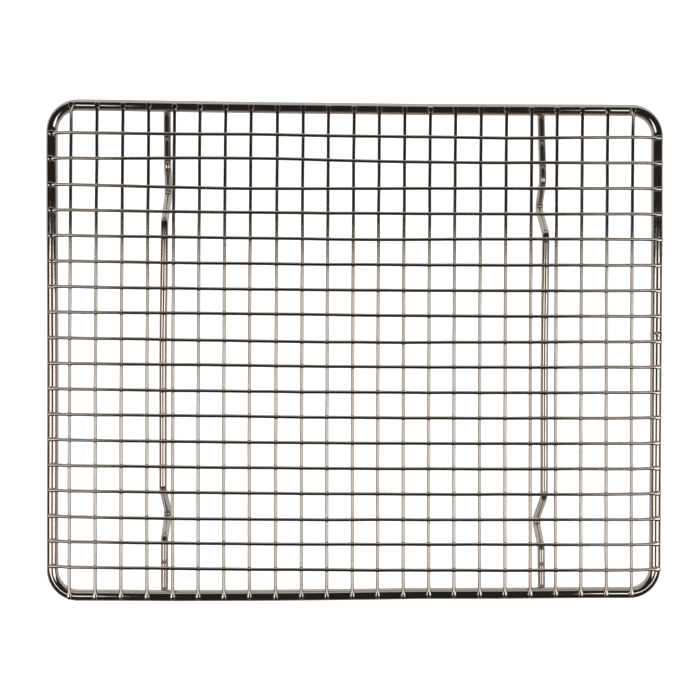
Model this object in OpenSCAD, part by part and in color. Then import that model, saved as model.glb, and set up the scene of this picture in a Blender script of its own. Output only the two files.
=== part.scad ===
// Footed wire cooling rack.
// A heavy round rim wire is bent into a rounded rectangle and closed by one
// butt weld. Thin straight cross wires lie across the rim's two long sides.
// Thin long wires lie over the cross wires and dip down at both ends onto the
// rim's two short sides. Two foot bars run along Y below the grid, their ends
// welded under the rim, and each is bent down into two V-shaped feet.
// Frame: +X along the long side, +Y along the short side, +Z up.
// Origin: centre of the rim's outline, on the plane the four feet stand on.
// Names: _d is a thickness, _r a radius, _z the height of a wire's centre.

/* [Rim] */
// Outer length of the rim along X, mm
rim_length = 254; // [252:0.5:262]
// Outer width of the rim along Y, mm
rim_width = 205.2; // [203.5:0.1:213]
// Outer radius of the rim's four corners, mm
rim_corner_r = 13; // [9:0.5:13]
// Thickness of the rim wire, mm
rim_d = 4.7; // [4:0.1:5]
// Place of the rim's butt weld along the right side, from its middle, mm
weld_y = 7.3; // [-2:0.1:8.4]
// How far the butt weld stands proud of the rim wire, mm
weld_proud = 0.28; // [0.1:0.02:0.4]
// Length of the butt weld along the rim wire, mm
weld_length = 1.3; // [0.8:0.1:1.6]

/* [Grid] */
// Number of cross wires, which run along Y
cross_count = 23; // [19:1:23]
// Number of long wires, which run along X
long_count = 18; // [16:2:18]
// Spacing of the wires in both directions, mm
pitch = 10.46; // [10.2:0.02:10.46]
// Thickness of the grid wires, mm
grid_d = 1.45; // [1.2:0.05:1.6]
// Depth that two crossing wires sink into each other where they are welded, mm
weld_sink = 0.3; // [0.1:0.05:0.4]
// Shift of the grid along X from the rim's centre, mm
grid_dx = -1.36; // [-1.4:0.02:0]
// Shift of the grid along Y from the rim's centre, mm
grid_dy = -0.58; // [-0.6:0.02:0]
// Distance from a wire's cut end to the rim's outer edge, mm
end_gap = 0.7; // [0.4:0.05:1.2]
// Angle at which a long wire's end dips to the rim, degrees
dip_angle = 18; // [14:1:24]
// Radius of the bends where a long wire dips, at the wire's centre, mm
dip_r = 5; // [3:0.5:6]
// Length of a long wire's flat end on the rim, mm
seat_len = 2.8; // [2.4:0.1:3.2]

/* [Feet] */
// Height of the grid's top surface above the ground, mm
rack_height = 19; // [17:0.5:24]
// Thickness of the foot bars, mm
bar_d = 3.1; // [2.6:0.05:3.4]
// Place of the left foot bar along X, mm
left_bar_x = -78.75; // [-79.2:0.05:-78.2]
// Place of the right foot bar along X, mm
right_bar_x = 77.85; // [77.5:0.05:78.6]
// Slip of the left foot bar along Y, mm
left_bar_slip = -1.6; // [-2.5:0.1:1]
// Slip of the right foot bar along Y, mm
right_bar_slip = -5.1; // [-5.5:0.1:0]
// Distance between the two feet of a bar, mm
foot_spacing = 134.3; // [130:0.5:138]
// Slope of the sides of a foot, degrees
foot_slope = 52.4; // [46:0.2:56]
// Radius of the bends in a foot bar, at the wire's centre, mm
bend_r = 3.4; // [2.4:0.1:3.6]

/* [Hidden] */
$fn = 48;
rim_r = rim_d / 2;
grid_r = grid_d / 2;
bar_r = bar_d / 2;

// how far a straight reaches into a bend, and how much thicker the bend is
reach = 0.1;
hair = 0.04;

// how far a foot bar's ends pass the centre of the rim wire
bar_overrun = 1;
// share of the butt weld's length that stands fully proud
weld_crest_share = 0.35;

// heights of the wires' centres
long_z = rack_height - grid_r - hair / 2;
cross_z = long_z - grid_d + weld_sink;
rim_z = cross_z - grid_r + weld_sink - rim_r;
long_end_z = rim_z + rim_r - weld_sink + grid_r;
bar_mid_z = long_z - grid_r + weld_sink - bar_r;
bar_end_z = rim_z - rim_r + weld_sink - bar_r;
foot_z = bar_r + hair / 2;

// half sizes and corner radius of the rim, at the wire's centre
rim_half_x = rim_length / 2 - rim_r;
rim_half_y = rim_width / 2 - rim_r;
corner_bend_r = rim_corner_r - rim_r;

// half lengths of the grid wires and bars
long_half = rim_length / 2 - end_gap;
cross_half = rim_width / 2 - end_gap;
bar_half = rim_half_y + bar_overrun;

// places of the grid wires: cross wires count towards +X, long wires towards -Y
function cross_x(i) = grid_dx + (i - (cross_count + 1) / 2) * pitch;
function long_y(j) = grid_dy + ((long_count + 1) / 2 - j) * pitch;

function two_digits(number) = str(number < 10 ? "0" : "", number);
function cross_name(i) = str("cross_wire_", two_digits(i));
function long_name(j) = str("long_wire_", two_digits(j));

// A bend at the origin, arriving along +X and turning towards +Z when turn is
// positive. The radius is at the wire's centre.
module bend(turn, radius, wire_d) {
    side = turn > 0 ? 1 : -1;
    translate([0, 0, side * radius])
        rotate([side * 90, 0, 0])
            rotate([0, 0, -90])
                rotate_extrude(angle = abs(turn))
                    translate([radius, 0]) circle(d = wire_d);
}

// Moves the children from the start of a bend to its end.
module past_bend(turn, radius) {
    centre_z = turn > 0 ? radius : -radius;
    translate([0, 0, centre_z])
        rotate([0, -turn, 0])
            translate([0, 0, -centre_z]) children();
}

// A round straight along X, from x = from to x = to.
module straight(from, to, wire_d) {
    translate([from, 0, 0]) rotate([0, 90, 0]) cylinder(d = wire_d, h = to - from);
}

// Bends and slanted straights in the X-Z plane. It starts at the origin along
// +X, and each step is [turn, radius of that turn, straight that follows].
// Straights reach a little way into the bends, which are a hair thicker, so
// that they join as one solid.
module bent_wire(steps, wire_d, index = 0) {
    turn = steps[index][0];
    radius = steps[index][1];
    run = steps[index][2];
    bend(turn, radius, wire_d + hair);
    past_bend(turn, radius) {
        if (run > 0) straight(-reach, run + reach, wire_d);
        if (index < len(steps) - 1)
            translate([run, 0, 0]) bent_wire(steps, wire_d, index + 1);
    }
}

// Cutter for a flat-bottomed seat of the given length, for a wire that runs
// along X with its underside at z = 0. It is as wide as the wire at the depth
// weld_sink.
module seat(wire_r, length) {
    width = 2 * sqrt(wire_r * wire_r - (wire_r - weld_sink) * (wire_r - weld_sink));
    translate([0, 0, weld_sink])
        cube([length, width, 2 * weld_sink], center = true);
}

// Cutters for the seats of all long wires, in a wire along Y at the given x.
module long_wire_seats(x, length) {
    for (j = [1 : long_count])
        translate([x, long_y(j), long_z - grid_r]) seat(grid_r, length);
}

// One straight side of the rim, along X.
module rim_side(length) {
    rotate([0, 90, 0]) cylinder(d = rim_d, h = length, center = true);
}

// The plain rim, all the way round.
module rim_ring() {
    corner_x = rim_half_x - corner_bend_r;
    corner_y = rim_half_y - corner_bend_r;
    for (side = [-1, 1]) {
        translate([0, side * rim_half_y, rim_z]) rim_side(2 * corner_x);
        translate([side * rim_half_x, 0, rim_z])
            rotate([0, 0, 90]) rim_side(2 * corner_y);
    }
    // each corner: side along X, side along Y, rotation
    for (corner = [[1, 1, 0], [-1, 1, 90], [-1, -1, 180], [1, -1, 270]])
        translate([corner[0] * corner_x, corner[1] * corner_y, rim_z])
            rotate([0, 0, corner[2]])
                rotate_extrude(angle = 90)
                    translate([corner_bend_r, 0]) circle(d = rim_d);
}

// The rim wire, open at the weld, with a shallow seat under each grid wire.
module rim_wire() {
    color("silver")
    difference() {
        rim_ring();
        translate([rim_half_x, weld_y, rim_z])
            cube([3 * rim_d, weld_length, 3 * rim_d], center = true);
        for (i = [1 : cross_count])
            for (side = [-1, 1])
                translate([cross_x(i), side * rim_half_y, cross_z - grid_r])
                    rotate([0, 0, 90]) seat(grid_r, 3 * rim_d);
        for (side = [-1, 1])
            translate([0, 0, long_end_z - long_z])
                long_wire_seats(side * rim_half_x, 2 * rim_d);
    }
}

// The upset bead that closes the rim.
module rim_butt_weld() {
    half = weld_length / 2;
    crest_half = half * weld_crest_share;
    crest_r = rim_r + weld_proud;
    color("darkgray")
    translate([rim_half_x, weld_y, rim_z])
        rotate([90, 0, 0])
            rotate_extrude()
                polygon([[0, -half], [rim_r, -half], [crest_r, -crest_half],
                         [crest_r, crest_half], [rim_r, half], [0, half]]);
}

// One cross wire, with a shallow seat under each long wire.
module cross_wire(i) {
    color("gainsboro")
    difference() {
        translate([cross_x(i), 0, cross_z])
            rotate([90, 0, 0])
                cylinder(d = grid_d, h = 2 * cross_half, center = true);
        long_wire_seats(cross_x(i), 3 * grid_d);
    }
}

// The long wire's shape, before it is placed along Y: the long straight, and at
// each end an S-bend down to a short flat end on the rim.
module long_shape() {
    drop = long_z - long_end_z;
    slant = (drop - 2 * dip_r * (1 - cos(dip_angle))) / sin(dip_angle);
    dip_run = 2 * dip_r * sin(dip_angle) + slant * cos(dip_angle);
    flat_start = long_half - seat_len;
    dip_start = flat_start - dip_run;
    translate([0, 0, long_z]) straight(-dip_start - reach, dip_start + reach, grid_d);
    for (facing = [0, 180])
        rotate([0, 0, facing]) {
            translate([dip_start, 0, long_z])
                bent_wire([[-dip_angle, dip_r, slant], [dip_angle, dip_r, 0]], grid_d);
            translate([0, 0, long_end_z])
                straight(flat_start - reach, long_half, grid_d);
        }
}

// One long wire.
module long_wire(j) {
    color("lightgray")
    translate([0, long_y(j), 0]) long_shape();
}

// The foot bar's shape, before it is placed along X: the straight under the
// grid, and at each end an inner bend, the foot, an outer bend and a short
// straight out to the rim. Slip shifts the feet along Y but not the cut ends.
module bar_shape(slip) {
    // sharp point of the V, below the rounded foot
    point_y = foot_spacing / 2;
    point_z = foot_z - bend_r * (1 / cos(foot_slope) - 1);
    inner_rise = bar_mid_z - point_z;
    outer_rise = bar_end_z - point_z;
    // from a bend's sharp corner to where its straight starts: at the top of
    // a side, and at the point of the V
    top_tangent = bend_r * tan(foot_slope / 2);
    point_tangent = bend_r * tan(foot_slope);
    inner_slant = inner_rise / sin(foot_slope) - top_tangent - point_tangent;
    outer_slant = outer_rise / sin(foot_slope) - top_tangent - point_tangent;
    // where the inner bend starts and the outer bend ends
    inner_y = point_y - inner_rise / tan(foot_slope) - top_tangent;
    outer_y = point_y + outer_rise / tan(foot_slope) + top_tangent;
    translate([0, slip, 0]) {
        translate([0, 0, bar_mid_z])
            rotate([0, 0, 90]) straight(-inner_y - reach, inner_y + reach, bar_d);
        for (side = [1, -1])
            rotate([0, 0, side * 90]) {
                translate([inner_y, 0, bar_mid_z])
                    bent_wire([[-foot_slope, bend_r, inner_slant],
                               [2 * foot_slope, bend_r, outer_slant],
                               [-foot_slope, bend_r, 0]], bar_d);
                translate([0, 0, bar_end_z])
                    straight(outer_y - reach, bar_half - side * slip, bar_d);
            }
    }
}

// A foot bar, with seats where it meets the rim and the long wires.
module foot_bar(x, slip) {
    color("silver")
    difference() {
        translate([x, 0, 0]) bar_shape(slip);
        for (side = [-1, 1])
            translate([x, side * rim_half_y, rim_z - rim_r]) seat(rim_r, 3 * bar_d);
        long_wire_seats(x, 3 * bar_d);
    }
}

rim_wire();
rim_butt_weld();
for (i = [1 : cross_count])
    cross_wire(i);
for (j = [1 : long_count])
    long_wire(j);
foot_bar(left_bar_x, left_bar_slip);  // left_foot_bar
foot_bar(right_bar_x, right_bar_slip);  // right_foot_bar
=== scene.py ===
"""Footed wire cooling rack, with its floor, lights and camera.

A round-cornered rim carries 23 cross wires, 18 long wires lie over those, and two bent foot bars
run below. Long wires run along X, cross wires and foot bars along Y, and Z is up from the floor.
Left is -X and front is -Y. Every wire is a swept mesh, worked out in millimetres.
"""
import math

import bpy
import numpy as np
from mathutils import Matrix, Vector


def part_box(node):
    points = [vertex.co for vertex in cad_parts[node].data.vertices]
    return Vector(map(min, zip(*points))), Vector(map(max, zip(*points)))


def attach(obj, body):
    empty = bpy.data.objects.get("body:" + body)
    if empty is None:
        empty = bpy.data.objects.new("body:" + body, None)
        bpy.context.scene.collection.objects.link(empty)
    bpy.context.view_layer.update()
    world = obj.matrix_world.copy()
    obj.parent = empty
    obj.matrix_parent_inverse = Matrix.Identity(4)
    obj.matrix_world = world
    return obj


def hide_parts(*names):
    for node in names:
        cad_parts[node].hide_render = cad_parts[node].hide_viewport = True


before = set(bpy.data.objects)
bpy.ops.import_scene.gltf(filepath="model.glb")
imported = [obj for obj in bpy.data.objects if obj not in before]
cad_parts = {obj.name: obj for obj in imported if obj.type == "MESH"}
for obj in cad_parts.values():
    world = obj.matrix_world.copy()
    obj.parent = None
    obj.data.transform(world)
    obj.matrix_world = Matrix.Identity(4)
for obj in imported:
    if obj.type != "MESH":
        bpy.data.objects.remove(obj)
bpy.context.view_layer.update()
MM = 0.001
rng = np.random.default_rng(7)


def centre_of(node):
    low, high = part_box(node)
    return [(low[k] + high[k]) / 2 / MM for k in range(3)]


# ------------------------------------------------------------------ sizes, mm
RIM_R, GRID_R, BAR_R = 2.36, 0.725, 1.57  # wire radii
SINK = 0.3  # how far welded wires sink into each other
CROSS_X = [centre_of(f"cross_wire_{i:02d}")[0] for i in range(1, 24)]
LONG_Y = [centre_of(f"long_wire_{j:02d}")[1] for j in range(1, 19)]
BAR_X = {side: centre_of(f"{side}_foot_bar")[0] for side in ("left", "right")}
WELD_Y = centre_of("rim_butt_weld")[1]

# heights of the centre lines, from the top down
LONG_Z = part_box("long_wire_01")[1][2] / MM - GRID_R
CROSS_Z = LONG_Z - 2 * GRID_R + SINK
RIM_Z = CROSS_Z - GRID_R + SINK - RIM_R
RIM_TOP = RIM_Z + RIM_R
WIRE_END_BOTTOM = RIM_TOP - SINK
BAR_MID_Z = LONG_Z - GRID_R + SINK - BAR_R
BAR_END_Z = RIM_Z - RIM_R + SINK - BAR_R

RACK_HX, RACK_HY, RACK_CORNER = 127, 102.6, 13  # half sizes and corner radius
RIM_INSET = 2.3  # from the rack's outline in to the rim's centre line
RIM_HX, RIM_HY = RACK_HX - RIM_INSET, RACK_HY - RIM_INSET
RIM_CORNER = RACK_CORNER - RIM_INSET
GRID_HY = 102  # half depth over which the grid wires' drift is measured
RIM_SIDES, GRID_SIDES, BAR_SIDES, WELD_SIDES = 56, 20, 32, 120

# -------------------------------------------------- how the wires wander, mm
# each rim side: places along it, and its shift there along +Y (front, back) or +X (left, right)
STRAY_FRONT = ((-100, -75, -40, -8, 27, 60, 100),
               (-0.51, -0.66, -0.47, -0.13, 0.42, 0.55, 0.95))
STRAY_BACK = ((-100, -70, -36, -8, 14, 30, 60, 100),
              (0.30, 0.06, -0.08, -0.13, -0.18, -0.24, -0.06, 0.2))
STRAY_LEFT = ((-86, -65, -34, -3, 20, 50, 81), (0.6, 0.49, 0.45, 0.35, 0.14, -0.13, -0.34))
STRAY_RIGHT = ((-86, -60, 0, 30, 50, 81), (0.09, 0.0, -0.05, -0.05, 0.0, -0.22))

# drift over the rack: factors of 1, u, v, u*u, u*v, v*v, where u and v run -1 to 1 along X and Y
LONG_DRIFT = (-0.32, -0.13, -0.17, 0.67, 0.3, 0.34)
CROSS_DRIFT = (0.02, 0.24, -0.19, -0.26, -0.21, 0.28)
# (wire number, size, centre along X, width): swells in single long wires
LONG_BUMPS = [
    (1, 0.35, -45, 30), (1, -0.4, 65, 32), (2, 1.1, -45, 48), (3, -0.78, -48, 58),
    (4, -0.1, -80, 40), (5, 0.25, 75, 45), (5, -0.28, 5, 30), (8, 0.42, -45, 60),
    (9, -0.42, 0, 60), (10, 0.22, -60, 35), (12, 0.24, -62, 40), (16, -0.36, -60, 70),
    (17, 0.25, 45, 50)]
# wire number: extra shift of single cross wires
CROSS_EASE = {6: -0.1, 7: -0.15, 8: -0.22, 9: 0.17, 10: 0.22, 11: 0.11, 12: 0.11, 16: -0.12}


def rim_shift(x, y):
    """Shift of the rim at x, y, blended between opposite sides."""
    right = (x / RACK_HX + 1) / 2
    shift_x = (1 - right) * np.interp(y, *STRAY_LEFT) + right * np.interp(y, *STRAY_RIGHT)
    back = (y / RACK_HY + 1) / 2
    shift_y = (1 - back) * np.interp(x, *STRAY_FRONT) + back * np.interp(x, *STRAY_BACK)
    return shift_x, shift_y


def drift(factors, u, v):
    one, by_u, by_v, by_uu, by_uv, by_vv = factors
    return one + by_u * u + by_v * v + by_uu * u * u + by_uv * u * v + by_vv * v * v


def long_shift(number, x):
    """Shift along Y of a long wire at x, from its even spacing."""
    shift = drift(LONG_DRIFT, x / RACK_HX, LONG_Y[number - 1] / GRID_HY)
    for wire, size, centre, width in LONG_BUMPS:
        if wire == number:
            shift = shift + size * np.exp(-((x - centre) / width) ** 2)
    return shift


def cross_shift(number, y):
    """Shift along X of a cross wire at y, from its even spacing."""
    v = y / GRID_HY
    ease = CROSS_EASE.get(number, 0.0) * (1 - 0.4 * v * v)
    return drift(CROSS_DRIFT, CROSS_X[number - 1] / RACK_HX, v) + ease


def wave(places, seed, size, length):
    """A slow random waver along a wire: five sines of about the given length."""
    draw = np.random.default_rng(seed)
    total = np.zeros_like(places)
    for _ in range(5):
        total = total + np.sin(2 * np.pi * places / (length * draw.uniform(0.6, 1.9))
                               + draw.uniform(0, 6.28)) * draw.uniform(0.3, 1)
    return total * size / 2.0


# --------------------------------------------------------------- mesh helpers
def add_mesh(name, verts, faces, material):
    mesh = bpy.data.meshes.new(name)
    mesh.from_pydata(np.asarray(verts).tolist(), [], faces)
    mesh.materials.append(material)
    obj = bpy.data.objects.new(name, mesh)
    bpy.context.scene.collection.objects.link(obj)
    return obj


def piece(name, shape, material, heat, nodes=()):
    """A smooth part of the rack. heat is one weld tint for all its vertices, or one for each."""
    verts, faces = shape
    obj = add_mesh(name, np.asarray(verts) * MM, faces, material)
    mesh = obj.data
    mesh.polygons.foreach_set("use_smooth", [True] * len(mesh.polygons))
    tint = mesh.attributes.new("heat", "FLOAT", "POINT")
    tint.data.foreach_set("value", np.full(len(verts), heat, np.float32))
    mesh.update()
    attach(obj, "root")
    if nodes:
        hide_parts(*nodes)


def sweep(centres, half_wide, half_high, sides, flat=0.0, lift=None):
    """Vertices and faces of a wire along centres, each end closed in a pole.

    half_wide is measured level and half_high across it; flat from 0 to 1 squares the section;
    lift(rings, centres, angles) may reshape the rings.
    """
    centres = np.asarray(centres, float)
    count = len(centres)
    heading = np.gradient(centres, axis=0)
    heading /= np.linalg.norm(heading, axis=1)[:, None]
    level = np.cross([0, 0, 1.0], heading)
    level /= np.linalg.norm(level, axis=1)[:, None]
    upward = np.cross(heading, level)
    wide = np.broadcast_to(half_wide, (count,))[:, None]
    high = np.broadcast_to(half_high, (count,))[:, None]
    power = (1 / (1 + np.broadcast_to(flat, (count,))))[:, None]
    angles = np.arange(sides) * 2 * np.pi / sides
    cos, sin = np.cos(angles)[None], np.sin(angles)[None]
    cos, sin = np.sign(cos) * np.abs(cos) ** power, np.sign(sin) * np.abs(sin) ** power
    rings = (centres[:, None, :] + (wide * cos)[:, :, None] * level[:, None, :]
             + (high * sin)[:, :, None] * upward[:, None, :])
    if lift is not None:
        rings = lift(rings, centres, angles)
    verts = np.vstack([rings.reshape(-1, 3), centres[0], centres[-1]])
    faces = []
    for i in range(count - 1):
        here, there = i * sides, (i + 1) * sides
        for j in range(sides):
            m = (j + 1) % sides
            faces.append((here + j, here + m, there + m, there + j))
    last_ring, first_pole, last_pole = (count - 1) * sides, count * sides, count * sides + 1
    for j in range(sides):
        m = (j + 1) % sides
        faces.append((first_pole, m, j))
        faces.append((last_pole, last_ring + j, last_ring + m))
    return verts, faces


def ring_heat(heat, sides):
    """One heat per station, spread over a swept wire's rings and its two poles."""
    return np.r_[np.repeat(heat, sides), heat[0], heat[-1]].clip(0, 1)


def blob(at, size, rows, cols, rough, seed, turn=0.0):
    """A lumpy squashed ball, turned about Z."""
    phase = np.random.default_rng(seed).uniform(0, 6.28, 6)
    verts, faces = [], []
    for i in range(1, rows):
        tilt = math.pi * i / rows
        for j in range(cols):
            spin = 2 * math.pi * j / cols
            lump = 1 + rough * (math.sin(2 * spin + phase[0]) + math.sin(3 * spin + phase[1]) * 0.7
                                + math.cos(2 * tilt + phase[2] + spin) * 0.6)
            x = math.sin(tilt) * math.cos(spin) * lump * size[0]
            y = math.sin(tilt) * math.sin(spin) * lump * size[1]
            verts.append((at[0] + x * math.cos(turn) - y * math.sin(turn),
                          at[1] + x * math.sin(turn) + y * math.cos(turn),
                          at[2] + math.cos(tilt) * size[2]))
    for i in range(rows - 2):
        for j in range(cols):
            m = (j + 1) % cols
            faces.append((i * cols + j, (i + 1) * cols + j, (i + 1) * cols + m, i * cols + m))
    top, bottom, low_row = len(verts), len(verts) + 1, (rows - 2) * cols
    verts += [(at[0], at[1], at[2] + size[2]), (at[0], at[1], at[2] - size[2])]
    for j in range(cols):
        m = (j + 1) % cols
        faces.append((top, j, m))
        faces.append((bottom, low_row + m, low_row + j))
    return verts, faces


def joined(parts):
    verts, faces = [], []
    for part_verts, part_faces in parts:
        first = len(verts)
        verts.extend(part_verts)
        faces.extend(tuple(i + first for i in face) for face in part_faces)
    return verts, faces


def smooth(x):
    x = np.clip(x, 0, 1)
    return x * x * (3 - 2 * x)


# ------------------------------------------------------------------ materials
class Nodes:
    """An emptied shader tree, with small arithmetic on its sockets."""

    def __init__(self, owner):
        owner.use_nodes = True
        self.tree = owner.node_tree
        self.tree.nodes.clear()

    def put(self, kind, **props):
        node = self.tree.nodes.new(kind)
        for key, value in props.items():
            setattr(node, key, value)
        return node

    def feed(self, node, index, value):
        if isinstance(value, (int, float)):
            node.inputs[index].default_value = value
        else:
            self.tree.links.new(value, node.inputs[index])

    def op(self, name, a, b=0.0, c=0.0, clamp=False):
        node = self.put("ShaderNodeMath", operation=name, use_clamp=clamp)
        for k, value in enumerate((a, b, c)):
            self.feed(node, k, value)
        return node.outputs[0]

    def step(self, x, start, end, before=0.0, after=1.0):
        """Smooth step of x from start to end, mapped to before..after. start may exceed end."""
        node = self.put("ShaderNodeMapRange", interpolation_type="SMOOTHSTEP")
        if start > end:
            start, end, before, after = end, start, after, before
        for k, value in enumerate((x, start, end, before, after)):
            self.feed(node, k, value)
        return node.outputs[0]

    def mul(self, first, *others):
        for other in others:
            first = self.op("MULTIPLY", first, other)
        return first

    def mix(self, factor, at_0, at_1):
        node = self.put("ShaderNodeMix", data_type="FLOAT")
        for k, value in ((0, factor), (2, at_0), (3, at_1)):
            self.feed(node, k, value)
        return node.outputs[0]

    def mix_colour(self, factor, at_0, at_1):
        node = self.put("ShaderNodeMix", data_type="RGBA")
        self.feed(node, 0, factor)
        for k, value in ((6, at_0), (7, at_1)):
            if isinstance(value, tuple):
                node.inputs[k].default_value = (*value, 1)
            else:
                self.feed(node, k, value)
        return node.outputs[2]

    def noise(self, vector, scale, detail, roughness=0.5):
        node = self.put("ShaderNodeTexNoise")
        self.feed(node, "Vector", vector)
        self.feed(node, "Scale", scale)
        self.feed(node, "Detail", detail)
        self.feed(node, "Roughness", roughness)
        return node.outputs[0]

    def stretch(self, vector, factors):
        node = self.put("ShaderNodeMapping")
        self.feed(node, "Vector", vector)
        node.inputs["Scale"].default_value = factors
        return node.outputs[0]

    def bump(self, height, strength, distance):
        node = self.put("ShaderNodeBump")
        self.feed(node, "Height", height)
        self.feed(node, "Strength", strength)
        self.feed(node, "Distance", distance)
        return node


NICKEL = (0.675, 0.61, 0.555)
NICKEL_SHADE = (0.965, 0.955, 0.94)  # factors on the nickel in its darker clouds
TAN = (0.50, 0.38, 0.28)  # heat tint
PIT = (0.30, 0.27, 0.23)
# noise scale for drawing lines: long along the wire, fine across it
LINE_SCALE = {"x": (60, 1600, 1600), "y": (1600, 60, 1600), "xy": (500, 500, 1600)}


def plated(name, along, rough, heat_gain=1.0, lumps=0.05):
    """Bright nickel plating. along is the wire's direction, lumps the strength of its waviness."""
    material = bpy.data.materials.new(name)
    g = Nodes(material)
    out = g.put("ShaderNodeOutputMaterial")
    bsdf = g.put("ShaderNodeBsdfPrincipled")
    g.feed(out, 0, bsdf.outputs[0])
    place = g.put("ShaderNodeTexCoord").outputs["Object"]
    heat = g.put("ShaderNodeAttribute", attribute_name="heat").outputs["Fac"]
    lines = g.noise(g.stretch(place, LINE_SCALE[along]), scale=1.0, detail=3.0, roughness=0.6)
    cloud = g.noise(place, scale=90.0, detail=4.0, roughness=0.55)
    speck = g.noise(place, scale=1500.0, detail=2.0)
    # soft heat tint beside the welds, broken up by the cloud
    tint = g.mul(heat, g.step(cloud, start=0.25, end=0.7, before=0.35))
    tint = g.op("MULTIPLY", tint, 0.75 * heat_gain, clamp=True)
    shaded = tuple(c * k for c, k in zip(NICKEL, NICKEL_SHADE))
    base = g.mix_colour(g.step(cloud, start=0.3, end=0.7), NICKEL, shaded)
    base = g.mix_colour(tint, base, TAN)
    # tiny dull pits in the plating
    pits = g.step(speck, start=0.70, end=0.78)
    base = g.mix_colour(g.mul(pits, 0.35), base, PIT)
    g.feed(bsdf, "Base Color", base)
    g.feed(bsdf, "Metallic", 1.0)
    # roughness follows the lines and the cloud, and rises with heat and in the pits
    total = g.op("ADD", g.step(lines, start=0.3, end=0.75, before=rough * 0.75, after=rough * 1.35),
                 g.step(cloud, start=0.35, end=0.75, before=-0.015, after=0.045))
    total = g.op("ADD", total, g.mul(heat, 0.07))
    total = g.op("ADD", total, g.mul(pits, 0.2))
    g.feed(bsdf, "Roughness", total)
    fine = g.bump(lines, strength=0.06, distance=0.00002)
    broad = g.bump(g.noise(place, scale=260.0, detail=2.0), strength=lumps, distance=0.0001)
    g.feed(broad, "Normal", fine.outputs[0])
    g.feed(bsdf, "Normal", broad.outputs[0])
    return material


M_RIM = plated("plated_rim", "xy", rough=0.065, heat_gain=0.5)
M_LONG = plated("plated_long", "x", rough=0.075)
M_CROSS = plated("plated_cross", "y", rough=0.09)
M_BAR = plated("plated_bar", "y", rough=0.075, heat_gain=0.8)
M_WELD = plated("plated_weld", "xy", rough=0.13, lumps=0.17)


# ----------------------------------------------------------------------- rim
def rim_path():
    """Level centre line, anticlockwise from one side of the butt weld to the other."""
    gap = 1.0
    tip_steps = (0.0, 0.04, 0.12, 0.3)
    tip_reach = 0.6
    cx, cy = RIM_HX - RIM_CORNER, RIM_HY - RIM_CORNER
    points = [np.array([RIM_HX, WELD_Y + gap + k]) for k in tip_steps]

    def line(start, end, step=4.0):
        way = np.array(end, float) - start
        count = max(int(np.hypot(*way) / step), 2)
        points.extend(np.array(start) + way * k / count for k in range(count))

    # start and end of each straight, then the centre of the corner that follows
    runs = [((RIM_HX, WELD_Y + gap + tip_reach), (RIM_HX, cy), (cx, cy)),
            ((cx, RIM_HY), (-cx, RIM_HY), (-cx, cy)),
            ((-RIM_HX, cy), (-RIM_HX, -cy), (-cx, -cy)),
            ((-cx, -RIM_HY), (cx, -RIM_HY), (cx, -cy))]
    for quarter, (start, end, centre) in enumerate(runs):
        line(start, end)
        for k in range(24):
            angle = math.radians(90 * quarter + 90 * k / 24)
            points.append(np.array([centre[0] + RIM_CORNER * math.cos(angle),
                                    centre[1] + RIM_CORNER * math.sin(angle)]))
    line((RIM_HX, -cy), (RIM_HX, WELD_Y - gap - tip_reach))
    points += [np.array([RIM_HX, WELD_Y - gap - k]) for k in (tip_reach, *tip_steps[::-1])]
    return np.array(points)


def rim_heat(verts):
    """Heat tint on the rim's top, near each wire end."""
    distance = np.full(len(verts), 9.0)
    for along, places, across, half in ((0, CROSS_X, 1, RIM_HY), (1, LONG_Y, 0, RIM_HX)):
        on_side = abs(abs(verts[:, across]) - half) < 3.5
        for place in places:
            nearer = np.minimum(distance, abs(verts[:, along] - place))
            distance = np.where(on_side, nearer, distance)
    return np.exp(-(distance / 1.3) ** 2) * (verts[:, 2] > RIM_Z + 0.5) * 0.6


def build_rim():
    path = rim_path()
    shift_x, shift_y = rim_shift(path[:, 0], path[:, 1])
    line = np.c_[path[:, 0] + shift_x, path[:, 1] + shift_y, np.full(len(path), RIM_Z)]
    run = np.r_[0, np.cumsum(np.hypot(*np.diff(path, axis=0).T))]
    line[:, 2] += wave(run, seed=5, size=0.05, length=70)
    shape = sweep(line, RIM_R, RIM_R, RIM_SIDES)
    piece("rim_wire_swept", shape, M_RIM, rim_heat(shape[0]), ["rim_wire"])


def build_butt_weld():
    """A low, slightly lumpy collar, with a slanted nick across its top."""
    half = 1.2
    along = np.r_[-half, np.linspace(-1.12, 1.12, 29), half]
    swell = 0.07 * np.cos(along / half * np.pi / 2) ** 0.5
    swell[[0, -1]] = -0.04
    shift_x, shift_y = rim_shift(RIM_HX, WELD_Y)
    count = len(along)
    line = np.c_[np.full(count, RIM_HX + shift_x), WELD_Y + shift_y + along, np.full(count, RIM_Z)]

    def collar(rings, centres, angles):
        y, angle = along[:, None], angles[None]
        fade = np.clip((1.15 - np.abs(y)) / 0.25, 0, 1)
        ripple = 0.02 * np.sin(3 * angle + 1.1) + 0.015 * np.sin(5 * angle + 2.0) * np.cos(y * 4)
        nick = 0.45 * np.exp(-((angle - 1.42 + 0.15 * y) / 0.13) ** 2) * np.exp(-(y / 0.95) ** 4)
        bead = 0.10 * np.exp(-((angle - 1.78) / 0.16) ** 2 - ((y - 0.6) / 0.3) ** 2)
        lump = (ripple - nick + bead) * fade
        outward = rings - centres[:, None, :]
        radius = np.linalg.norm(outward, axis=2, keepdims=True)
        return centres[:, None, :] + outward * (1 + lump[:, :, None] / radius)

    shape = sweep(line, RIM_R + swell, RIM_R + swell, WELD_SIDES, lift=collar)
    piece("butt_weld_collar", shape, M_WELD, 0.2, ["rim_butt_weld"])


build_rim()
build_butt_weld()

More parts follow.
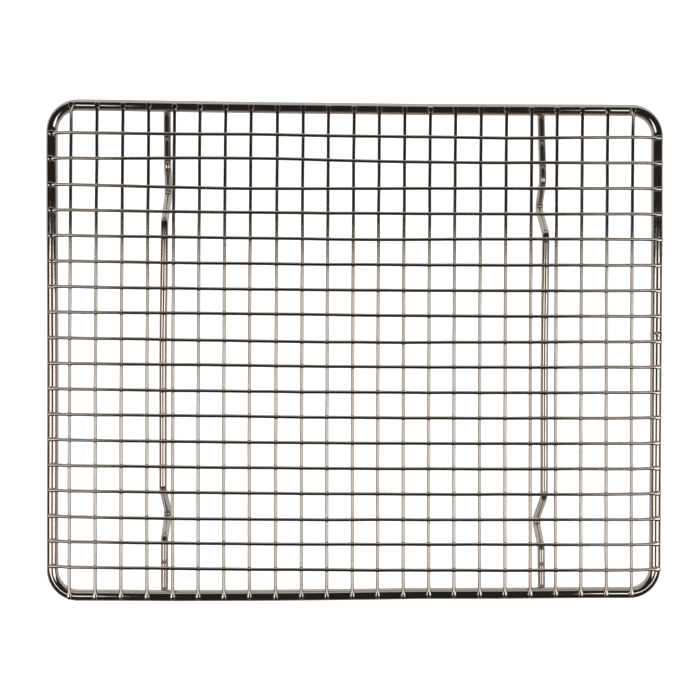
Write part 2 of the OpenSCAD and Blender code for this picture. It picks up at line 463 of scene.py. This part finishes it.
# ---------------------------------------------------------------- grid wires
FINE_REACH = 3.4  # length of the finely stepped part at each wire end
END_STEPS = [0.03, 0.09, 0.18, 0.3, 0.45, 0.62, 0.8, 1.0, 1.25, 1.5, 1.8, 2.1, 2.45, 2.8,
             FINE_REACH, FINE_REACH + 0.6]
CROSSING_STEPS = [-1.6, -0.9, -0.35, 0.35, 0.9, 1.6]
MIN_STEP = 0.028


def stations(start, end, crossings):
    """Places along a wire: close together at the ends and crossings, wide apart between."""
    places = [start, end]
    places += [start + d for d in END_STEPS]
    places += [end - d for d in END_STEPS]
    for crossing in crossings:
        places += [crossing + d for d in CROSSING_STEPS if start + 0.2 < crossing + d < end - 0.2]
    places = np.unique(np.round(np.array(places), 4))
    keep = [places[0]]
    for place in places[1:]:
        if place - keep[-1] > MIN_STEP:
            keep.append(place)
    keep[-1] = places[-1]
    return np.array(keep)


def pad(from_tip, wider, thinner):
    """Half-width and half-height factors and flatness of a welded wire end: neck, pad, round tip.

    wider and thinner are the fractions by which the pad outgrows and undercuts the wire.
    """
    bump = 1 - smooth((from_tip - 1.8) / 1.3)
    neck = np.exp(-((from_tip - 3.1) / 0.7) ** 2)
    tip = np.sqrt(np.clip(1 - (1 - np.clip(from_tip / 1.05, 0, 1)) ** 2, 1e-4, 1))
    wide = 1 + wider * (bump - 0.15 * neck)
    high = 1 - thinner * bump
    return wide * tip, high * tip ** 0.45, 0.8 * bump


def build_grid_wire(kind, number, material, line, section, heat):
    wide, high, flat = section
    node = f"{kind}_wire_{number:02d}"
    shape = sweep(line, GRID_R * wide, GRID_R * high, GRID_SIDES, flat=flat)
    heat = ring_heat(heat, GRID_SIDES)
    piece(f"{node}_swept", shape, material, heat, [node])


def wire_heat(places, crossings, reach, strength, from_end):
    """Heat round each crossing, and at the welded ends."""
    near = np.min(np.abs(places[:, None] - np.array(crossings)[None]), axis=1)
    return np.exp(-(near / reach) ** 2) * strength + 0.7 * np.exp(-((from_end - 1.6) / 1.8) ** 2)


def long_wire(number):
    """Build a long wire and return its centre line."""
    draw = np.random.default_rng(100 + number)
    row_y = LONG_Y[number - 1]
    left = -125.85 + rim_shift(-RIM_HX, row_y)[0] + draw.uniform(-0.3, 0.3)
    right = 126.15 + rim_shift(RIM_HX, row_y)[0] + draw.uniform(-0.35, 0.2)
    x = stations(left, right, CROSS_X)
    # even steps down the dip at each end
    dip_steps = ([left + FINE_REACH + 0.7 * k for k in range(1, 14)]
                 + [right - FINE_REACH - 0.7 * k for k in range(1, 14)])
    x = np.unique(np.r_[x, dip_steps])
    from_left = x - left
    from_end = np.minimum(from_left, right - x)
    # left ends are pressed hard and a little askew at the rack's back, hardly at all at its front
    press = min(max((row_y - 15) / 45, 0.0), 1.0)
    wide_left, high_left, flat_left = pad(
        from_left,
        wider=0.16 + 0.34 * press + draw.uniform(-0.06, 0.08),
        thinner=0.02 + 0.1 * press + draw.uniform(-0.02, 0.02))
    flat_left = flat_left * (0.25 + 0.75 * press)
    wide_right, high_right, flat_right = pad(
        right - x,
        wider=0.26 + 0.2 * max(0.0, -row_y / 100) + draw.uniform(-0.06, 0.08),
        thinner=0.05 + draw.uniform(-0.03, 0.03))
    high = high_left * high_right
    askew = 0.12 * press * np.clip(1.9 - from_left, 0, 1.9)
    seat = WIRE_END_BOTTOM + GRID_R * np.maximum(high, 0.62) + askew
    # the wire climbs from its seat on the rim to the grid
    climb = smooth((from_end - 2.6) / 6.6)
    z = seat * (1 - climb) + LONG_Z * climb
    z = z + wave(x, seed=400 + number, size=0.012, length=26) * climb
    y = row_y + long_shift(number, x) + wave(x, seed=300 + number, size=0.05, length=34)
    line = np.c_[x, y, z]
    heat = wire_heat(x, CROSS_X, 0.85, draw.uniform(0.5, 1.0), from_end)
    section = (wide_left * wide_right, high, flat_left + flat_right)
    build_grid_wire("long", number, M_LONG, line, section, heat)
    return line


def cross_wire(number):
    """Build a cross wire and return its centre line."""
    draw = np.random.default_rng(200 + number)
    column_x = CROSS_X[number - 1]
    front = -101.65 + rim_shift(column_x, -RIM_HY)[1] + draw.uniform(-0.15, 0.25)
    back = 101.2 + rim_shift(column_x, RIM_HY)[1] + draw.uniform(-0.25, 0.25)
    y = stations(front, back, LONG_Y)
    from_front, from_back = y - front, back - y
    from_end = np.minimum(from_front, from_back)
    wide_front, high_front, flat_front = pad(
        from_front,
        wider=0.3 + draw.uniform(-0.05, 0.08),
        thinner=0.02 + draw.uniform(-0.02, 0.02))
    wide_back, high_back, flat_back = pad(
        from_back,
        wider=0.48 + draw.uniform(-0.06, 0.1),
        thinner=0.1 + draw.uniform(-0.03, 0.03))
    high = high_front * high_back
    seat = WIRE_END_BOTTOM + GRID_R * np.maximum(high, 0.6)
    climb = smooth((from_end - 1.5) / 3.5)
    z = seat * (1 - climb) + CROSS_Z * climb
    # the outermost wires ride a little high where they meet the rim's corner bends at the back
    if number in (1, len(CROSS_X)):
        z = z + 0.75 * (1 - smooth((from_back - 0.5) / 10.5)) * smooth(from_back / 0.6)
    z = z + wave(y, seed=600 + number, size=0.012, length=26) * smooth((from_end - 4) / 4)
    x = column_x + cross_shift(number, y) + wave(y, seed=500 + number, size=0.05, length=34)
    line = np.c_[x, y, z]
    heat = wire_heat(y, LONG_Y, 1.15, draw.uniform(0.55, 1.0), from_end)
    section = (wide_front * wide_back, high, flat_front + flat_back)
    build_grid_wire("cross", number, M_CROSS, line, section, heat)
    return line


long_lines = [long_wire(j) for j in range(1, 19)]
cross_lines = [cross_wire(i) for i in range(1, 24)]


def long_y_at(number, x):
    line = long_lines[number - 1]
    return float(np.interp(x, line[:, 0], line[:, 1]))


def cross_x_at(number, y):
    line = cross_lines[number - 1]
    return float(np.interp(y, line[:, 1], line[:, 0]))


# ----------------------------------------------------------------- foot bars
BAR_HY = 101.2  # half length of a bar
BEND_R, FOOT_R = 3.4, 3.2
# (outer bend, foot, inner bend) along Y, for the front and back foot of each bar
FEET = {"left": ((-77.9, -68.6, -56.9), (75.0, 66.4, 53.0)),
        "right": ((-81.3, -71.6, -59.3), (70.9, 61.6, 49.1))}
# sideways lean of each bar: (place along Y, shift along X)
LEAN = {"left": ((-101, 0.07), (-78, 0.0), (-68, -0.05), (-57, 0.05), (0, -0.17),
                 (52, 0.18), (66, -0.45), (75, 0.55), (101, 0.25)),
        "right": ((-101, 0.45), (-81, 0.2), (-71, -0.09), (-59, 0.2), (0, -0.03),
                  (49, 0.2), (61, 0.25), (71, -0.15), (101, -1.0))}


def filleted(corners, radii, step=2.2):
    """A path through corners in a plane, each inner one rounded."""
    corners = [np.array(corner, float) for corner in corners]
    path = [corners[0]]

    def straight_to(end):
        last = path[-1]
        count = max(int(np.linalg.norm(end - last) / step), 1)
        path.extend(last + (end - last) * m / count for m in range(1, count + 1))

    for before, corner, after, radius in zip(corners, corners[1:], corners[2:], radii):
        back = (before - corner) / np.linalg.norm(before - corner)
        on = (after - corner) / np.linalg.norm(after - corner)
        half = math.acos(float(np.clip(back @ on, -1, 1))) / 2
        reach = radius / math.tan(half)
        start, end = corner + back * reach, corner + on * reach
        centre = corner + (back + on) / np.linalg.norm(back + on) * radius / math.sin(half)
        straight_to(start)
        first = math.atan2(*(start - centre)[::-1])
        last = math.atan2(*(end - centre)[::-1])
        turn = (last - first + math.pi) % (2 * math.pi) - math.pi
        count = max(int(abs(turn) / math.radians(7)), 3)
        for m in range(1, count + 1):
            angle = first + turn * m / count
            path.append(centre + radius * np.array([math.cos(angle), math.sin(angle)]))
    straight_to(corners[-1])
    return np.array(path)


def bar_path(side):
    """Centre line of a bar in Y and Z, its foot corners set so the feet touch the floor."""
    front, back = FEET[side]
    depth = [-1.0, -1.0]
    for _ in range(6):
        path = filleted(
            [(-BAR_HY, BAR_END_Z), (front[0], BAR_END_Z), (front[1], depth[0]),
             (front[2], BAR_MID_Z), (back[2], BAR_MID_Z), (back[1], depth[1]),
             (back[0], BAR_END_Z), (BAR_HY, BAR_END_Z)],
            [BEND_R, FOOT_R, BEND_R, BEND_R, FOOT_R, BEND_R])
        for k, sign in ((0, -1), (1, 1)):
            depth[k] += BAR_R - path[path[:, 0] * sign > 0][:, 1].min()
    return path


def with_end_rings(line):
    """Add two close stations after the first, for a small round edge."""
    inward = line[1] - line[0]
    inward /= np.linalg.norm(inward)
    return np.vstack([line[0], line[0] + inward * 0.06, line[0] + inward * 0.18, line[1:]])


def foot_bar(side):
    """Build a foot bar and return its centre line."""
    path = bar_path(side)
    lean_y, lean_x = np.array(LEAN[side]).T
    k = np.searchsorted(lean_y, path[:, 0]).clip(1, len(lean_y) - 1)
    blend = smooth((path[:, 0] - lean_y[k - 1]) / (lean_y[k] - lean_y[k - 1]))
    x = BAR_X[side] + lean_x[k - 1] * (1 - blend) + lean_x[k] * blend
    line = np.c_[x, path[:, 0], path[:, 1]]
    # clear room for the end rings
    from_end = np.minimum(line[:, 1] + BAR_HY, BAR_HY - line[:, 1])
    line = line[(from_end < 1e-6) | (from_end > 0.3)]
    line = with_end_rings(line)
    line = with_end_rings(line[::-1])[::-1]
    radius = np.full(len(line), BAR_R)
    radius[[0, -1]] *= 0.86
    radius[[1, -2]] *= 0.96
    heat = np.zeros(len(line))
    raised = line[:, 2] > BAR_MID_Z - 0.4
    for y in LONG_Y:
        heat = np.maximum(heat, np.exp(-((line[:, 1] - y) / 1.3) ** 2) * raised)
    heat = np.maximum(heat, 0.9 * np.exp(-((np.abs(line[:, 1]) - RIM_HY) / 3.0) ** 2))
    node = f"{side}_foot_bar"
    shape = sweep(line, radius, radius, BAR_SIDES)
    piece(f"{node}_swept", shape, M_BAR, ring_heat(heat, BAR_SIDES), [node])
    return line


bar_lines = {side: foot_bar(side) for side in ("left", "right")}


# ------------------------------------------------------------- weld nuggets
def nugget(at, size, seed, cols=12, rough=0.05, largest=1.12):
    size = rng.uniform(0.9, largest, 3) * size
    return blob(at, size, rows=6, cols=cols, rough=rough, seed=seed)


def grid_nuggets():
    z = CROSS_Z + GRID_R - SINK / 2 - 0.02
    for i in range(1, 24):
        for j in range(1, 19):
            x = cross_x_at(i, long_y_at(j, CROSS_X[i - 1]))
            yield nugget((x, long_y_at(j, x), z), (0.80, 0.98, 0.34), 1000 + 20 * i + j,
                         cols=10, rough=0.06)


def rim_nuggets():
    z = RIM_TOP - SINK + 0.1
    for i in range(1, 24):
        for sign in (-1, 1):
            rim_y = sign * RIM_HY
            y = rim_y + rim_shift(CROSS_X[i - 1], rim_y)[1]
            yield nugget((cross_x_at(i, rim_y), y, z), (0.86, 1.1, 0.28), 2000 + 3 * i + sign)
    for j in range(1, 19):
        for sign in (-1, 1):
            rim_x = sign * RIM_HX
            x = rim_x + rim_shift(rim_x, LONG_Y[j - 1])[0]
            yield nugget((x, long_y_at(j, rim_x), z), (1.1, 0.86, 0.28), 3000 + 3 * j + sign)


def bar_nuggets():
    for side, line in bar_lines.items():
        raised = line[line[:, 2] > BAR_MID_Z - 0.12]
        for j in range(1, 19):
            y = long_y_at(j, BAR_X[side])
            if raised[:, 1].min() < y < raised[:, 1].max():
                x = float(np.interp(y, raised[:, 1], raised[:, 0]))
                yield nugget((x, y, BAR_MID_Z + BAR_R - SINK / 2), (1.05, 1.05, 0.36), 4000 + j,
                             rough=0.07, largest=1.1)
        inner = 1 if side == "left" else -1
        for sign in (-1, 1):
            x = float(np.interp(sign * RIM_HY, line[:, 1], line[:, 0]))
            y = sign * RIM_HY + rim_shift(x, sign * RIM_HY)[1]
            yield blob((x, y, RIM_Z - RIM_R + 0.1), (1.75, 1.5, 0.5), rows=8, cols=16,
                       rough=0.08, seed=4100 + sign)
            # squeezed-out metal on the inner side of the front joint
            if sign < 0:
                yield blob((x + inner * 1.5, y + 1.75, RIM_Z - 1.6), (1.5, 0.7, 0.55), rows=8,
                           cols=14, rough=0.14, seed=4200 + inner, turn=-0.25 * inner)


piece("grid_weld_nuggets", joined(grid_nuggets()), M_WELD, 0.55)
piece("rim_weld_nuggets", joined(rim_nuggets()), M_WELD, 0.6)
piece("foot_bar_weld_nuggets", joined(bar_nuggets()), M_WELD, 0.6)


# -------------------------------------------------------------- stage, metres
def sheet(name, x_range, y_range, z, cells, material, faces_up):
    """A level grid of cells by cells faces."""
    xs, ys = np.linspace(*x_range, cells + 1), np.linspace(*y_range, cells + 1)
    faces = []
    for row in range(cells):
        for column in range(cells):
            a = row * (cells + 1) + column
            b = a + cells + 1
            faces.append((a, a + 1, b + 1, b) if faces_up else (a, b, b + 1, a + 1))
    return add_mesh(name, [(x, y, z) for y in ys for x in xs], faces, material)


def floor_material():
    material = bpy.data.materials.new("floor_white")
    g = Nodes(material)
    out = g.put("ShaderNodeOutputMaterial")
    diffuse = g.put("ShaderNodeBsdfDiffuse")
    place = g.put("ShaderNodeTexCoord").outputs["Object"]
    cloud = g.noise(place, scale=6.0, detail=3.0)
    g.feed(diffuse, 0, g.mix_colour(cloud, (0.93, 0.93, 0.925), (0.95, 0.95, 0.95)))
    # a glow for the camera only, strongest where the floor is seen square on
    facing = g.put("ShaderNodeLayerWeight").outputs["Facing"]
    seen = g.put("ShaderNodeLightPath").outputs["Is Camera Ray"]
    glow = g.put("ShaderNodeEmission")
    g.feed(glow, "Strength", g.mul(g.step(facing, start=0.45, end=0.12, after=0.6), seen))
    both = g.put("ShaderNodeAddShader")
    g.feed(both, 0, diffuse.outputs[0])
    g.feed(both, 1, glow.outputs[0])
    # clear from below, so that the underside of the rack can be looked at
    under = g.put("ShaderNodeMixShader")
    g.feed(under, 0, g.put("ShaderNodeNewGeometry").outputs["Backfacing"])
    g.feed(under, 1, both.outputs[0])
    g.feed(under, 2, g.put("ShaderNodeBsdfTransparent").outputs[0])
    g.feed(out, 0, under.outputs[0])
    return material


floor = sheet("floor", (-2.0, 2.0), (-2.0, 2.0), 0.0, 48, floor_material(), faces_up=True)
floor.visible_glossy = False


# ------------------------------------------------------------------ lighting
def build_world():
    """Even light, but the metal reflects a dark room above a pale surround."""
    world = bpy.data.worlds.new("studio")
    bpy.context.scene.world = world
    g = Nodes(world)
    world.cycles.sampling_method = "NONE"
    out = g.put("ShaderNodeOutputWorld")
    background = g.put("ShaderNodeBackground")
    g.feed(out, 0, background.outputs[0])
    direction = g.put("ShaderNodeSeparateXYZ")
    g.feed(direction, 0, g.put("ShaderNodeTexCoord").outputs["Generated"])
    x, y, z = direction.outputs
    level = g.op("SQRT", g.op("ADD", g.mul(x, x), g.mul(y, y)))
    level = g.op("MAXIMUM", level, 0.001)
    to_back, to_right = g.op("DIVIDE", y, level), g.op("DIVIDE", x, level)
    elevation = g.mul(g.op("ARCTAN2", z, level), 57.2958)  # radians to degrees
    # elevation at which the pale surround gives way to the dark room, by heading:
    # 0 at the left to -8 at the right, -14 at the front, 41 at the back
    sides = g.op("MULTIPLY_ADD", to_right, -4.0, -4.0)
    ends = g.mix(g.step(to_back, start=-0.02, end=0.02), at_0=-14.0, at_1=41.0)
    edge = g.mix(g.mul(to_back, to_back), sides, ends)
    pale = g.step(g.op("SUBTRACT", edge, elevation), start=-1.2, end=1.2)
    # the surround is brighter at the back, and dimmer straight below
    pale_level = g.mix(g.step(to_back, start=-0.5, end=0.5), at_0=0.5, at_1=0.625)
    pale_level = g.mix(g.step(elevation, start=-80.0, end=-30.0), 0.48, pale_level)
    room = g.mix(pale, 0.022, pale_level)
    glossy = g.put("ShaderNodeLightPath").outputs["Is Glossy Ray"]
    g.feed(background, "Strength", g.mix(glossy, 1.12, room))
    background.inputs["Color"].default_value = (1.0, 1.0, 1.0, 1.0)


def softbox(name, x_range, taper, y_range=(-0.72, 0.25), z=1.8, strength=1.66, soft=0.05):
    """An overhead panel that only the metal sees, its edges faded over soft.

    Its inner edge moves by taper along X towards the back.
    """
    (x0, x1), (y0, y1) = x_range, y_range
    material = bpy.data.materials.new(name + "_glow")
    g = Nodes(material)
    out = g.put("ShaderNodeOutputMaterial")
    glow = g.put("ShaderNodeEmission")
    at = g.put("ShaderNodeSeparateXYZ")
    g.feed(at, 0, g.put("ShaderNodeTexCoord").outputs["Object"])
    x, y = at.outputs[0], at.outputs[1]
    tapered = g.op("SUBTRACT", x, g.step(y, start=-0.25, end=0.12, after=taper))
    left, right = (tapered, x) if taper > 0 else (x, tapered)
    fall = g.mul(g.step(left, x0, x0 + soft), g.step(right, x1, x1 - soft),
                 g.step(y, y0, y0 + soft), g.step(y, y1, y1 - soft))
    g.feed(glow, "Strength", g.mul(fall, strength))
    g.feed(out, 0, glow.outputs[0])
    panel = sheet(name, x_range, y_range, z, 24, material, faces_up=False)
    panel.visible_camera = panel.visible_diffuse = False
    panel.visible_shadow = panel.visible_transmission = False


build_world()
softbox("softbox_left", (-2.24, -0.425), taper=-0.16)
softbox("softbox_right", (0.476, 3.1), taper=0.16)

# -------------------------------------------------------------------- camera
camera = bpy.data.cameras.new("camera")
camera.type = "PERSP"
camera.sensor_width = 36.0
camera.lens = 58.57714286
camera.clip_start, camera.clip_end = 0.01, 20.0
eye = bpy.data.objects.new("camera", camera)
eye.location = (-0.010939, 0.003195, 0.484326)
eye.rotation_euler = [math.radians(a) for a in (-0.3137, -1.0524, 0.3235)]
scene = bpy.context.scene
scene.collection.objects.link(eye)
scene.camera = eye
scene.view_settings.view_transform = "Standard"
scene.view_settings.look = "None"
scene.cycles.max_bounces = 8
scene.cycles.diffuse_bounces = 2
scene.cycles.glossy_bounces = 6
